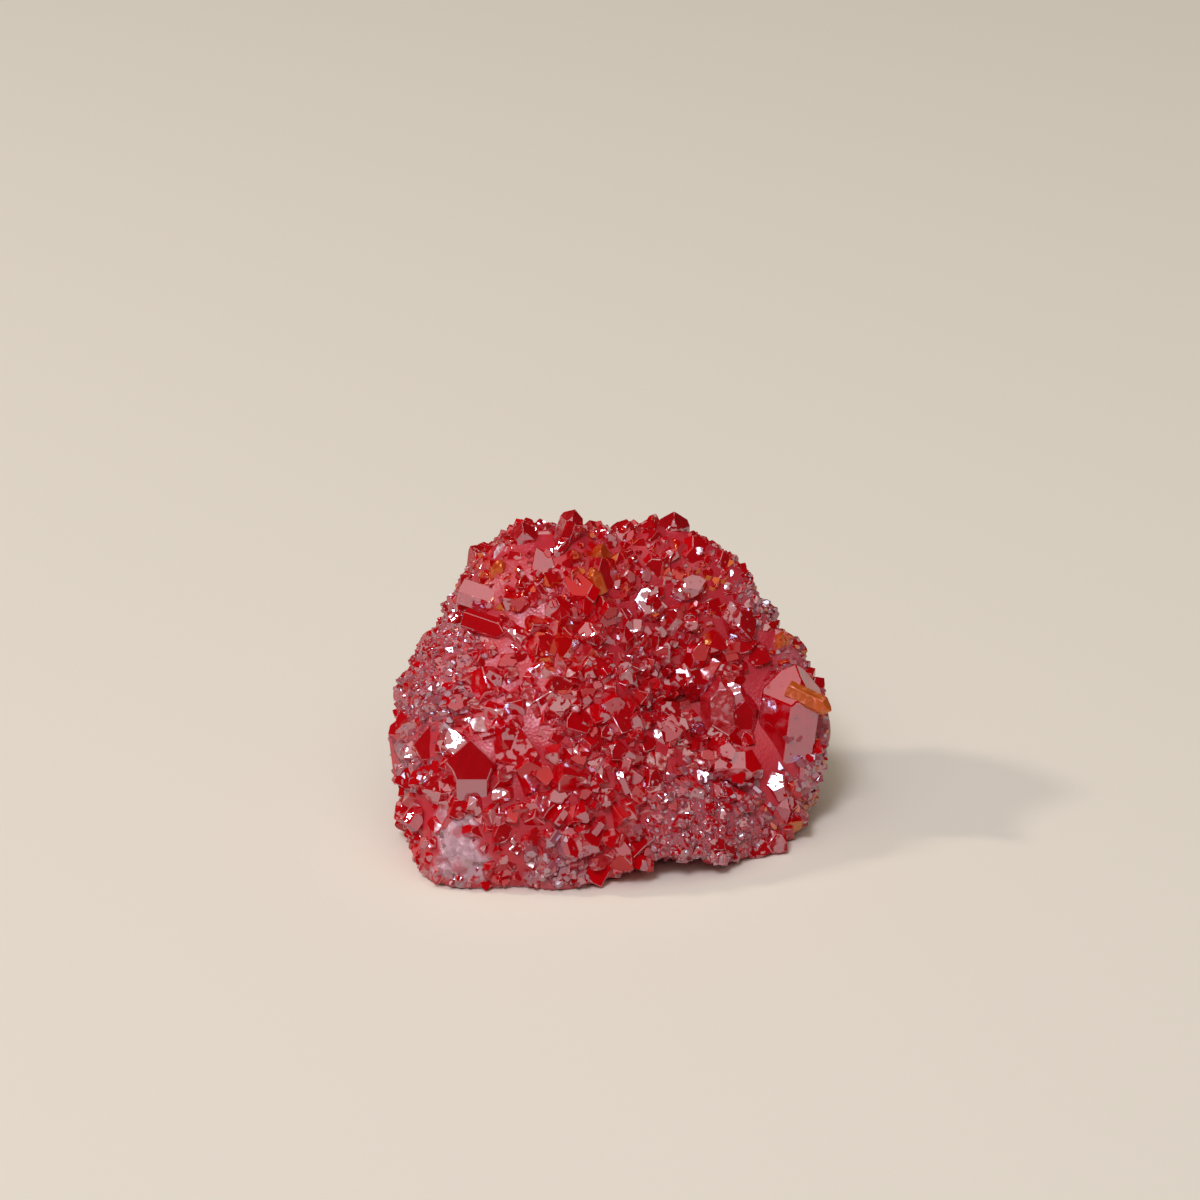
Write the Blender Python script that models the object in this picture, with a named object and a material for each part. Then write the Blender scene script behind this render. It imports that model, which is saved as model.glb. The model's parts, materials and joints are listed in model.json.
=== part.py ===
"""A hand-sized piece of geode: a mound of quartz with crystals grown together all over it.

Metres, +Z up. The origin is on the flat broken base, under the middle of the mound. +X is the
viewer's right and -Y faces the viewer, who looks down on the piece at VIEW_TILT.
"""

import math
import random

import bmesh
import bpy
from mathutils import Quaternion, Vector, noise
from mathutils.bvhtree import BVHTree

MM = 0.001

# The mound. Its outline is given as the viewer sees it, as radii round HEART at even clock angles,
# anticlockwise from the right.
VIEW_TILT = math.radians(25)
HEART = Vector((0, 0, 20)) * MM
OUTLINE_MM = (36.0, 33.0, 31.0, 32.0, 32.0, 32.0, 29.0, 31.5, 34.0, 33.5, 31.5, 33.0,
              35.6, 36.0, 39.0, 43.0, 41.0, 41.0, 37.0, 36.0, 36.0, 37.5, 37.0, 37.5)

# How far the mound swells towards the viewer and away: at its middle, then towards the outline at
# even clock angles, anticlockwise from the right.
FRONT_REACH_MM = (20.0, (4.5, 8.0, 14.0, 18.5, 22.0, 23.0, 22.0, 14.0))
BACK_REACH_MM = (19.0, (19.0, 16.0, 15.0, 17.0, 19.0, 19.0, 19.0, 19.0))
SQUARENESS = 2.4
MOUND_DETAIL = 3

# Swellings and hollows: (across, up) in the viewer's plane from HEART, then reach and spread, all mm.
# The first list is on the side that faces the viewer, the second on the far side.
FRONT_RELIEF_MM = (
    (14.0, -19.0, 4.0, 8.0),    # the fine-grained knuckle at the lower right
    (-22.0, -9.0, 3.0, 9.0),    # the boss that carries the largest points
    (-25.0, -24.0, 5.0, 9.0),   # the left foot
    (6.0, 11.0, -2.5, 9.0),     # the shallow bowl in the middle
    (-5.0, 25.0, 2.0, 7.0),     # the crest
)
BACK_RELIEF_MM = (
    (-14.0, 8.0, 2.5, 10.0),
    (12.0, 14.0, -2.5, 8.0),
    (20.0, -6.0, 2.5, 9.0),
    (-4.0, -12.0, -2.0, 8.0),
)
RELIEF_FADE = 2.5          # how quickly both die away towards the outline
ROUGHNESS_MM = 1.1
ROUGH_SCALE_MM = 11.0

# Where the underside lifts off the ground: (x, y), then lift and spread, all mm.
UNDERCUT_PASSES = 6
LIFT_MM = 0.05             # anything closer to the ground than this lies on it
UNDERCUTS_MM = (
    (11.0, -26.0, 5.0, 9.0),
    (38.0, -2.0, 7.0, 9.0),
    (8.0, 27.0, 5.0, 9.0),
)

# The large crystals. Each has the place where its axis leaves the mound (across, up) in the viewer's
# plane, its axis (right, up, towards the viewer), its half width, how far its tip stands proud,
# how far its root goes in, and its turn in degrees from having a pyramid face square to the viewer.
LARGE_CRYSTALS_MM = (
    (-22.2, -9.2, (0.00, 0.79, 0.62), 4.6, 7.8, 4.0, 60),        # the largest point, over the left foot
    (-29.8, -4.5, (-0.10, 0.79, 0.60), 3.2, 4.0, 4.0, 60),
    (-31.5, -16.0, (-0.35, 0.60, 0.72), 4.2, 3.8, 4.0, 30),
    (-34.2, -8.5, (-0.12, 0.98, 0.12), 2.7, 8.5, 4.0, 10),      # the blunt one on the left-hand rim
    (-18.0, -14.5, (0.45, 0.50, 0.74), 3.6, 3.0, 4.0, 0),
    (-15.0, -4.0, (0.10, 0.80, 0.58), 4.2, 4.6, 4.0, 50),
    (-7.8, 27.0, (0.32, 0.93, 0.20), 2.0, 7.6, 4.0, 0),         # the points along the crest
    (-1.0, 28.0, (-0.25, 0.92, 0.30), 2.1, 4.0, 4.0, 25),
    (10.6, 29.0, (0.02, 0.97, 0.25), 3.0, 6.4, 4.0, 0),
    (-14.2, 27.5, (-0.10, 0.95, 0.30), 2.3, 5.0, 4.0, 5),
    (18.5, 24.0, (0.30, 0.85, 0.45), 2.6, 3.6, 4.0, 0),
    (20.5, 14.5, (0.55, -0.62, 0.56), 2.9, 6.6, 4.0, 0),        # the prism that leans over the right shoulder
    (29.6, -4.0, (0.10, 0.90, 0.40), 5.4, 14.0, 4.5, 25),       # the great right-hand crystal
    (27.0, 7.5, (0.55, 0.70, 0.45), 3.8, 4.6, 4.0, 0),
    (21.8, -1.0, (0.04, 0.99, 0.10), 2.6, 4.8, 9.0, 0),        # the upright prisms beside it
    (18.2, 0.5, (-0.03, 0.99, 0.10), 3.2, 7.0, 14.0, 10),
    (28.5, -14.5, (0.25, 0.86, 0.45), 4.0, 4.4, 4.0, 5),
    (1.5, 5.5, (0.10, 0.60, 0.79), 3.0, 3.6, 4.0, 0),
    (8.0, -1.0, (0.92, -0.08, 0.38), 1.9, 5.6, 4.0, 30),        # small prisms that lie flat
    (-21.0, 18.0, (0.92, -0.30, 0.25), 2.4, 6.0, 4.0, 30),
    (-20.5, 13.5, (0.90, -0.30, 0.30), 1.8, 5.6, 4.0, 10),
    (-21.0, 5.0, (-0.20, 0.75, 0.63), 3.2, 4.0, 4.0, 0),
    (12.0, 19.0, (0.84, 0.42, 0.34), 1.9, 5.4, 4.0, 30),
    (-2.0, 22.5, (0.20, 0.75, 0.63), 3.0, 4.8, 4.0, 0),
    (-12.0, -14.5, (0.05, 0.60, 0.80), 3.4, 3.2, 4.0, 0),
    (-5.5, -19.0, (-0.20, 0.60, 0.77), 3.4, 3.6, 4.0, 0),
    (-12.5, -22.5, (-0.30, 0.60, 0.74), 3.6, 3.0, 4.0, 0),
    (1.5, -21.5, (0.25, 0.60, 0.76), 3.4, 2.8, 4.0, 0),
    (-11.5, 10.5, (-0.20, 0.70, 0.68), 3.4, 4.0, 4.0, 0),
    (-3.0, 12.5, (0.30, 0.70, 0.65), 3.2, 3.6, 4.0, 0),
)

# How coarse the other crystals are: (across, up) of a patch in the viewer's plane, its spread and the
# half width of its crystals, all mm. Anything away from the patches takes the middling size.
FRONT_GRAIN_MM = (
    (-28.5, 13.0, 7.0, 1.3),
    (14.0, -20.0, 7.0, 1.2),
    (-24.0, -24.0, 5.0, 0.8),
    (8.0, 11.0, 6.0, 1.6),
    (26.0, 0.0, 10.0, 4.0),
    (-25.0, -8.0, 7.0, 3.2),
    (-6.0, -24.0, 9.0, 3.6),
    (-5.0, 20.0, 9.0, 2.6),
)
MIDDLING_MM = 2.8
MIDDLING_WEIGHT = 0.35     # against a patch's weight of 1 at its middle
BACK_GRAIN_MM = 3.8
BACK_STARTS = -0.25        # where a normal's share towards the viewer falls below this
SMALLEST_MM = 1.8          # finer crystals than this are left out of the solid
CLOSENESS = 0.79           # the least spacing of two crystals, against their half widths together
SIZE_SPREAD = (0.75, 1.25)
PROUD_SHARE = (0.8, 1.5)   # how far a tip stands out of the mound, against the crystal's half width
MOST_LEAN = 28.0           # degrees from the mound's normal
LOWEST_MM = 2.5            # no crystal is rooted closer to the ground than this
ROOT_MM = 4.0              # how far a crystal's prism runs on under the mound's surface
TRIES = 8000
SEED = 13

# A quartz crystal has six prism faces round its axis and six pyramid faces that meet at its tip.
PYRAMID_SLOPE = math.radians(51.8)   # from the axis to the normal of a pyramid face
UNEVEN_SIDES = (0.8, 1.1)            # distances of the prism faces from the axis, in half widths
MAIN_DROP = (0.0, 0.12)              # how far three of the pyramid faces lie under the tip,
LESSER_DROP = (0.15, 0.5)            # and how far the three between them do

GROUND_MM = (120.0, 120.0, 30.0)     # the block that cuts the base flat
VIEWER_AWAY_MM = 200.0
QUARTZ_COLOUR = (0.40, 0.012, 0.025, 1.0)

VIEW_RIGHT = Vector((1, 0, 0))
VIEW_UP = Vector((0, math.sin(VIEW_TILT), math.cos(VIEW_TILT)))
VIEW_OUT = Vector((0, -math.cos(VIEW_TILT), math.sin(VIEW_TILT)))


def clear_scene():
    for obj in list(bpy.data.objects):
        bpy.data.objects.remove(obj, do_unlink=True)


def round_the_clock(values, clock):
    """The value at a clock angle, eased between values given at even steps from the right."""
    count = len(values)
    place = clock / math.tau * count % count
    here = int(place)
    share = place - here
    before, start, end, after = (values[(here + k) % count] for k in (-1, 0, 1, 2))
    bend = (2 * before - 5 * start + 4 * end - after) * share ** 2
    twist = (3 * start - before - 3 * end + after) * share ** 3
    return 0.5 * (2 * start + (end - before) * share + bend + twist)


def bump_sum(forms, across, up):
    """The height of a list of rounded bumps at a place, all in millimetres."""
    height = 0.0
    for form_across, form_up, reach, spread in forms:
        away = (across - form_across) ** 2 + (up - form_up) ** 2
        height += reach * math.exp(-away / spread ** 2)
    return height


def mound_point(direction):
    """Where the ray from HEART along direction leaves the mound, which the ground cuts flat."""
    across, up, facing = (direction.dot(axis) for axis in (VIEW_RIGHT, VIEW_UP, VIEW_OUT))
    clock = math.atan2(up, across)
    rim = round_the_clock(OUTLINE_MM, clock) * MM
    reach, rim_reaches = FRONT_REACH_MM if facing > 0 else BACK_REACH_MM
    rim_reach = round_the_clock(rim_reaches, clock)
    depth = (reach + (rim_reach - reach) * math.hypot(across, up)) * MM
    side = math.hypot(across, up) / rim
    radius = (side ** SQUARENESS + (abs(facing) / depth) ** SQUARENESS) ** (-1 / SQUARENESS)
    forms = FRONT_RELIEF_MM if facing > 0 else BACK_RELIEF_MM
    swell = bump_sum(forms, across * radius / MM, up * radius / MM)
    radius += swell * MM * min(1.0, abs(facing) * RELIEF_FADE)
    radius += noise.fractal(direction * radius / (ROUGH_SCALE_MM * MM), 1.0, 2.0, 3) * ROUGHNESS_MM * MM
    if direction.z < 0:
        reach = min(radius, HEART.z / -direction.z)
        for _ in range(UNDERCUT_PASSES):
            under = HEART + direction * reach
            ground = bump_sum(UNDERCUTS_MM, under.x / MM, under.y / MM) * MM
            reach = min(radius, max(HEART.z - ground, 0) / -direction.z)
        radius = reach
    point = HEART + direction * radius
    if point.z < LIFT_MM * MM:
        point.z = 0.0
    return point


def make_mound():
    bm = bmesh.new()
    bmesh.ops.create_icosphere(bm, subdivisions=MOUND_DETAIL, radius=1.0)
    for vert in bm.verts:
        vert.co = mound_point(vert.co.normalized())
    return bm


def slice_off(bm, point, normal):
    """Cut away what lies beyond a plane and close the cut."""
    parts = bm.verts[:] + bm.edges[:] + bm.faces[:]
    cut = bmesh.ops.bisect_plane(bm, geom=parts, dist=1e-9, plane_co=point, plane_no=normal,
                                 clear_outer=True)
    rim = [part for part in cut["geom_cut"] if isinstance(part, bmesh.types.BMEdge)]
    if rim:
        bmesh.ops.holes_fill(bm, edges=rim, sides=0)


def make_crystal(rng, tip, axis, turn, half_width, length):
    """A quartz prism with its six-sided point at tip, turned from having a face towards the viewer."""
    across = (VIEW_OUT - axis * VIEW_OUT.dot(axis)).normalized()
    other = axis.cross(across)
    bm = bmesh.new()
    bmesh.ops.create_cube(bm, size=1.0)
    for vert in bm.verts:
        side, edge, rise = vert.co
        vert.co = tip + (across * side + other * edge) * half_width * 3 + axis * (rise - 0.5) * length
    for k in range(6):
        angle = math.radians(60 * k + turn)
        out = across * math.cos(angle) + other * math.sin(angle)
        slice_off(bm, tip + out * half_width * rng.uniform(*UNEVEN_SIDES), out)
        slope = axis * math.cos(PYRAMID_SLOPE) + out * math.sin(PYRAMID_SLOPE)
        drop = rng.uniform(*(MAIN_DROP if k % 2 == 0 else LESSER_DROP))
        slice_off(bm, tip - slope * drop * half_width, slope)
    return bm


def view_hit(tree, across, up):
    """Where the line of sight through a place in the viewer's plane meets the mound, or its rim."""
    place = HEART + (VIEW_RIGHT * across + VIEW_UP * up) * MM
    start = place + VIEW_OUT * VIEWER_AWAY_MM * MM
    return tree.ray_cast(start, -VIEW_OUT)[0] or tree.find_nearest(place)[0]


def grain_at(across, up, facing):
    """The half width of the crystals at a place, in millimetres."""
    if facing < BACK_STARTS:
        return BACK_GRAIN_MM
    total, weight = MIDDLING_MM * MIDDLING_WEIGHT, MIDDLING_WEIGHT
    for patch_across, patch_up, spread, grain in FRONT_GRAIN_MM:
        away = (across - patch_across) ** 2 + (up - patch_up) ** 2
        share = math.exp(-away / spread ** 2)
        total += grain * share
        weight += share
    return total / weight


def leaned(rng, normal, most):
    """The normal, leaned a random way by up to a number of degrees."""
    hinge = normal.orthogonal().normalized()
    hinge.rotate(Quaternion(normal, rng.uniform(0, math.tau)))
    axis = normal.copy()
    axis.rotate(Quaternion(hinge, math.radians(most) * math.sqrt(rng.random())))
    return axis


def large_crystals(tree):
    rng = random.Random(SEED)
    crystals, places = [], []
    for across, up, lean, half_width, proud, root, turn in LARGE_CRYSTALS_MM:
        right, high, out = lean
        axis = (VIEW_RIGHT * right + VIEW_UP * high + VIEW_OUT * out).normalized()
        foot = view_hit(tree, across, up)
        tip = foot + axis * proud * MM
        crystals.append(make_crystal(rng, tip, axis, turn, half_width * MM, (proud + root) * MM))
        places.append((foot, half_width * MM))
    return crystals, places


def small_crystals(tree, places):
    """Crystals scattered over the rest of the mound, closer together where they are small."""
    rng = random.Random(SEED + 1)
    crystals = []
    for _ in range(TRIES):
        direction = Vector((rng.gauss(0, 1), rng.gauss(0, 1), rng.gauss(0, 1))).normalized()
        foot, normal = tree.ray_cast(HEART, direction)[:2]
        if foot.z < LOWEST_MM * MM:
            continue
        off_heart = foot - HEART
        across, up = off_heart.dot(VIEW_RIGHT) / MM, off_heart.dot(VIEW_UP) / MM
        half_width = grain_at(across, up, normal.dot(VIEW_OUT)) * rng.uniform(*SIZE_SPREAD) * MM
        if half_width < SMALLEST_MM * MM:
            continue
        if any((foot - place).length < (half_width + other) * CLOSENESS for place, other in places):
            continue
        axis = leaned(rng, normal, MOST_LEAN)
        proud = half_width * rng.uniform(*PROUD_SHARE)
        tip = foot + axis * proud
        length = proud + ROOT_MM * MM
        crystals.append(make_crystal(rng, tip, axis, rng.uniform(0, 360), half_width, length))
        places.append((foot, half_width))
    return crystals


def link_mesh(name, bm, collection):
    mesh = bpy.data.meshes.new(name)
    bmesh.ops.recalc_face_normals(bm, faces=bm.faces)
    bm.to_mesh(mesh)
    bm.free()
    obj = bpy.data.objects.new(name, mesh)
    collection.objects.link(obj)
    return obj


def link_cutter(name, bm, collection):
    cutter = link_mesh(name, bm, collection)
    cutter.hide_render = True
    cutter.display_type = "WIRE"
    return cutter


def make_ground():
    bm = bmesh.new()
    bmesh.ops.create_cube(bm, size=1.0)
    bmesh.ops.translate(bm, verts=bm.verts, vec=(0, 0, -0.5))
    bmesh.ops.scale(bm, verts=bm.verts, vec=Vector(GROUND_MM) * MM)
    return bm


def quartz_material():
    material = bpy.data.materials.new("quartz_with_a_red_metal_film")
    material.use_nodes = True
    shader = material.node_tree.nodes["Principled BSDF"]
    shader.inputs["Base Color"].default_value = QUARTZ_COLOUR
    shader.inputs["Roughness"].default_value = 0.12
    shader.inputs["Metallic"].default_value = 0.0
    shader.inputs["IOR"].default_value = 1.55
    return material


def new_collection(name):
    collection = bpy.data.collections.new(name)
    bpy.context.scene.collection.children.link(collection)
    return collection


def main():
    clear_scene()
    parts = new_collection("quartz_geode")
    cutters = new_collection("cutters")
    crystal_group = bpy.data.collections.new("crystals")
    cutters.children.link(crystal_group)

    mound = make_mound()
    tree = BVHTree.FromBMesh(mound)
    geode = link_mesh("quartz_geode", mound, parts)
    geode.data.materials.append(quartz_material())

    crystals, places = large_crystals(tree)
    crystals += small_crystals(tree, places)
    for number, crystal in enumerate(crystals):
        link_cutter(f"crystal_{number:03d}", crystal, crystal_group)
    grown = geode.modifiers.new("crystals grown on", "BOOLEAN")
    grown.operation = "UNION"
    grown.operand_type = "COLLECTION"
    grown.collection = crystal_group

    broken_flat = geode.modifiers.new("broken flat", "BOOLEAN")
    broken_flat.operation = "DIFFERENCE"
    broken_flat.object = link_cutter("ground", make_ground(), cutters)


if __name__ == "__main__":
    main()
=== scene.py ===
"""A hand-sized piece of geode: red film-coated quartz crystals grown over a mound of milky quartz.

The forms repeat those of the solid model: the same mound and the same large and middling crystals,
from the same named values. The finer crystals and the finish of every surface are made here.
"""

import json
import math
import random

import bmesh
import bpy
import numpy as np
from bpy.props import FloatProperty, FloatVectorProperty, IntProperty, PointerProperty, StringProperty
from mathutils import Matrix, Quaternion, Vector, noise
from mathutils.bvhtree import BVHTree

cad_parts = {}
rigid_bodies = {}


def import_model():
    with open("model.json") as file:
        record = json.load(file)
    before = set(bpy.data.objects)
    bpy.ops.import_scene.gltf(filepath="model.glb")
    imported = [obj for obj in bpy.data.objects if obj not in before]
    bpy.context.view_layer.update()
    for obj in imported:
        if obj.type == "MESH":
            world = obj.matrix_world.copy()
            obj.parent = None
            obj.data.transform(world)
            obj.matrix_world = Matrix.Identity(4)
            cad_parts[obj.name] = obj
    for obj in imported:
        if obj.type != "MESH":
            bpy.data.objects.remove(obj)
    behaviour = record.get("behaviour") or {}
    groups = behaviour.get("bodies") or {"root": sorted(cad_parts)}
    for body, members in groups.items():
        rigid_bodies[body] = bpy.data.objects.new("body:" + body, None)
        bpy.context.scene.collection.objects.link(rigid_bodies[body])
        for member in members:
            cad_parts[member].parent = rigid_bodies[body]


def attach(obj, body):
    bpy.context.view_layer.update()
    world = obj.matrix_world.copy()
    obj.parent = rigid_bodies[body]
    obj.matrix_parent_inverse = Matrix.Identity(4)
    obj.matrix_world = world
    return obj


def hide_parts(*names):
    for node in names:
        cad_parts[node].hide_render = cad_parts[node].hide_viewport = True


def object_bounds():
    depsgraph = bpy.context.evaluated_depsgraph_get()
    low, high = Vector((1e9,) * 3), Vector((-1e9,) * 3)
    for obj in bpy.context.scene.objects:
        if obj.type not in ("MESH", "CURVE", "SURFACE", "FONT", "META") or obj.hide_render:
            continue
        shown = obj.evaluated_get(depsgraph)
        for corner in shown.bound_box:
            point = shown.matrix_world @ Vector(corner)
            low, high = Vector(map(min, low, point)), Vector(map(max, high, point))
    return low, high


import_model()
CAD_BOX = [list(corner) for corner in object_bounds()]
NODE = "quartz_geode"

bl_info = {
    "name": "Quartz geode",
    "version": (1, 0, 0),
    "blender": (4, 5, 0),
    "location": "View3D > Sidebar > Geode",
    "description": "Builds a piece of geode with film-coated quartz crystals and the studio round it",
    "category": "Add Mesh",
}

MM = 0.001


# ---- The form, as in the solid model ----

VIEW_TILT = math.radians(25)
HEART = Vector((0, 0, 20)) * MM
OUTLINE_MM = (36.0, 33.0, 31.0, 32.0, 32.0, 32.0, 29.0, 31.5, 34.0, 33.5, 31.5, 33.0,
              35.6, 36.0, 39.0, 43.0, 41.0, 41.0, 37.0, 36.0, 36.0, 37.5, 37.0, 37.5)

# How far the mound swells towards the viewer and away: at its middle, then towards the outline at
# even clock angles, anticlockwise from the right.
FRONT_REACH_MM = (20.0, (4.5, 8.0, 14.0, 18.5, 22.0, 23.0, 22.0, 14.0))
BACK_REACH_MM = (19.0, (19.0, 16.0, 15.0, 17.0, 19.0, 19.0, 19.0, 19.0))
SQUARENESS = 2.4

# Swellings and hollows: (across, up) in the viewer's plane from HEART, then reach and spread, all mm.
FRONT_RELIEF_MM = (
    (14.0, -19.0, 4.0, 8.0),    # the fine-grained knuckle at the lower right
    (-22.0, -9.0, 3.0, 9.0),    # the boss that carries the largest points
    (-25.0, -24.0, 5.0, 9.0),   # the left foot
    (6.0, 11.0, -2.5, 9.0),     # the shallow bowl in the middle
    (-5.0, 25.0, 2.0, 7.0),     # the crest
)
BACK_RELIEF_MM = (
    (-14.0, 8.0, 2.5, 10.0),
    (12.0, 14.0, -2.5, 8.0),
    (20.0, -6.0, 2.5, 9.0),
    (-4.0, -12.0, -2.0, 8.0),
)
RELIEF_FADE = 2.5          # how quickly both die away towards the outline
ROUGHNESS_MM = 1.1
ROUGH_SCALE_MM = 11.0

# Where the underside lifts off the ground: (x, y), then lift and spread, all mm.
UNDERCUT_PASSES = 6
LIFT_MM = 0.05             # anything closer to the ground than this lies on it
UNDERCUTS_MM = (
    (11.0, -26.0, 5.0, 9.0),
    (38.0, -2.0, 7.0, 9.0),
    (8.0, 27.0, 5.0, 9.0),
)

# The large crystals: where the axis leaves the mound (across, up), the axis (right, up, towards the
# viewer), half width, how far the tip stands proud, the length of the root, and the turn in degrees.
LARGE_CRYSTALS_MM = (
    (-22.2, -9.2, (0.00, 0.79, 0.62), 4.6, 7.8, 4.0, 60),        # the largest point, over the left foot
    (-29.8, -4.5, (-0.10, 0.79, 0.60), 3.2, 4.0, 4.0, 60),
    (-31.5, -16.0, (-0.35, 0.60, 0.72), 4.2, 3.8, 4.0, 30),
    (-34.2, -8.5, (-0.12, 0.98, 0.12), 2.7, 8.5, 4.0, 10),      # the blunt one on the left-hand rim
    (-18.0, -14.5, (0.45, 0.50, 0.74), 3.6, 3.0, 4.0, 0),
    (-15.0, -4.0, (0.10, 0.80, 0.58), 4.2, 4.6, 4.0, 50),
    (-7.8, 27.0, (0.32, 0.93, 0.20), 2.0, 7.6, 4.0, 0),         # the points along the crest
    (-1.0, 28.0, (-0.25, 0.92, 0.30), 2.1, 4.0, 4.0, 25),
    (10.6, 29.0, (0.02, 0.97, 0.25), 3.0, 6.4, 4.0, 0),
    (-14.2, 27.5, (-0.10, 0.95, 0.30), 2.3, 5.0, 4.0, 5),
    (18.5, 24.0, (0.30, 0.85, 0.45), 2.6, 3.6, 4.0, 0),
    (20.5, 14.5, (0.55, -0.62, 0.56), 2.9, 6.6, 4.0, 0),        # the prism over the right shoulder
    (29.6, -4.0, (0.10, 0.90, 0.40), 5.4, 14.0, 4.5, 25),       # the great right-hand crystal
    (27.0, 7.5, (0.55, 0.70, 0.45), 3.8, 4.6, 4.0, 0),
    (21.8, -1.0, (0.04, 0.99, 0.10), 2.6, 4.8, 9.0, 0),        # the upright prisms beside it
    (18.2, 0.5, (-0.03, 0.99, 0.10), 3.2, 7.0, 14.0, 10),
    (28.5, -14.5, (0.25, 0.86, 0.45), 4.0, 4.4, 4.0, 5),
    (1.5, 5.5, (0.10, 0.60, 0.79), 3.0, 3.6, 4.0, 0),
    (8.0, -1.0, (0.92, -0.08, 0.38), 1.9, 5.6, 4.0, 30),        # small prisms that lie flat
    (-21.0, 18.0, (0.92, -0.30, 0.25), 2.4, 6.0, 4.0, 30),
    (-20.5, 13.5, (0.90, -0.30, 0.30), 1.8, 5.6, 4.0, 10),
    (-21.0, 5.0, (-0.20, 0.75, 0.63), 3.2, 4.0, 4.0, 0),
    (12.0, 19.0, (0.84, 0.42, 0.34), 1.9, 5.4, 4.0, 30),
    (-2.0, 22.5, (0.20, 0.75, 0.63), 3.0, 4.8, 4.0, 0),
    (-12.0, -14.5, (0.05, 0.60, 0.80), 3.4, 3.2, 4.0, 0),
    (-5.5, -19.0, (-0.20, 0.60, 0.77), 3.4, 3.6, 4.0, 0),
    (-12.5, -22.5, (-0.30, 0.60, 0.74), 3.6, 3.0, 4.0, 0),
    (1.5, -21.5, (0.25, 0.60, 0.76), 3.4, 2.8, 4.0, 0),
    (-11.5, 10.5, (-0.20, 0.70, 0.68), 3.4, 4.0, 4.0, 0),
    (-3.0, 12.5, (0.30, 0.70, 0.65), 3.2, 3.6, 4.0, 0),
)

# How coarse the crystals are: (across, up) of a patch, its spread and the crystals' half width, mm.
FRONT_GRAIN_MM = (
    (-28.5, 13.0, 7.0, 1.3),
    (14.0, -20.0, 7.0, 1.2),
    (-24.0, -24.0, 5.0, 0.8),
    (8.0, 11.0, 6.0, 1.6),
    (26.0, 0.0, 10.0, 4.0),
    (-25.0, -8.0, 7.0, 3.2),
    (-6.0, -24.0, 9.0, 3.6),
    (-5.0, 20.0, 9.0, 2.6),
)
MIDDLING_MM = 2.8
MIDDLING_WEIGHT = 0.35     # against a patch's weight of 1 at its middle
BACK_GRAIN_MM = 3.8
BACK_STARTS = -0.25        # where a normal's share towards the viewer falls below this
SMALLEST_MM = 1.8          # no middling crystal is finer than this
CLOSENESS = 0.79           # the least spacing of two crystals, against their half widths together
SIZE_SPREAD = (0.75, 1.25)
PROUD_SHARE = (0.8, 1.5)   # how far a tip stands out of the mound, against the half width
MOST_LEAN = 28.0           # degrees from the mound's normal
LOWEST_MM = 2.5            # no middling crystal is rooted closer to the ground than this
ROOT_MM = 4.0              # how far a crystal's prism runs on under the mound's surface
TRIES = 8000
SEED = 13

# A quartz crystal has six prism faces round its axis and six pyramid faces that meet at its tip.
PYRAMID_SLOPE = math.radians(51.8)   # from the axis to the normal of a pyramid face
UNEVEN_SIDES = (0.8, 1.1)            # distances of the prism faces from the axis, in half widths
MAIN_DROP = (0.0, 0.12)              # how far three of the pyramid faces lie under the tip,
LESSER_DROP = (0.15, 0.5)            # and how far the three between them do
BLANK_WIDTHS = 3                     # the block a crystal is cut from, in half widths

GUIDE_DETAIL = 3            # the coarse mound on which the solid model's crystals stand
MOUND_DETAIL = 7
VIEWER_AWAY_MM = 200.0      # where lines of sight start

VIEW_RIGHT = Vector((1, 0, 0))
VIEW_UP = Vector((0, math.sin(VIEW_TILT), math.cos(VIEW_TILT)))
VIEW_OUT = Vector((0, -math.cos(VIEW_TILT), math.sin(VIEW_TILT)))
VIEW_AXES = (VIEW_RIGHT, VIEW_UP, VIEW_OUT)


# ---- The finer crystals and the broken place ----

# The sorts of crystal, as written on the faces
LARGE, MIDDLING, YOUNG, DRUSE = 0, 1, 2, 3

# Rows of the table of large crystals that are finished in their own way
CLEAN = (0, 5, 12)          # the largest point, one beside it and the great right-hand crystal
CLEAN_FACET = 0.3
OVERGROWN = (3, 4, 17, 21, 24, 25, 26, 27, 28, 29)    # those that carry small crystals themselves
FROSTED = (15,)             # the tall upright prism
FROSTED_FACET = 0.95
WORN_ROUND = {3: 0.3, 6: 0.12, 8: 0.12}     # the blunt one and two points of the crest, with their wear
ROUNDED_FROM = 0.1          # wear above this rounds an edge, and less only chamfers it
ROUND_STEPS = 3

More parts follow.
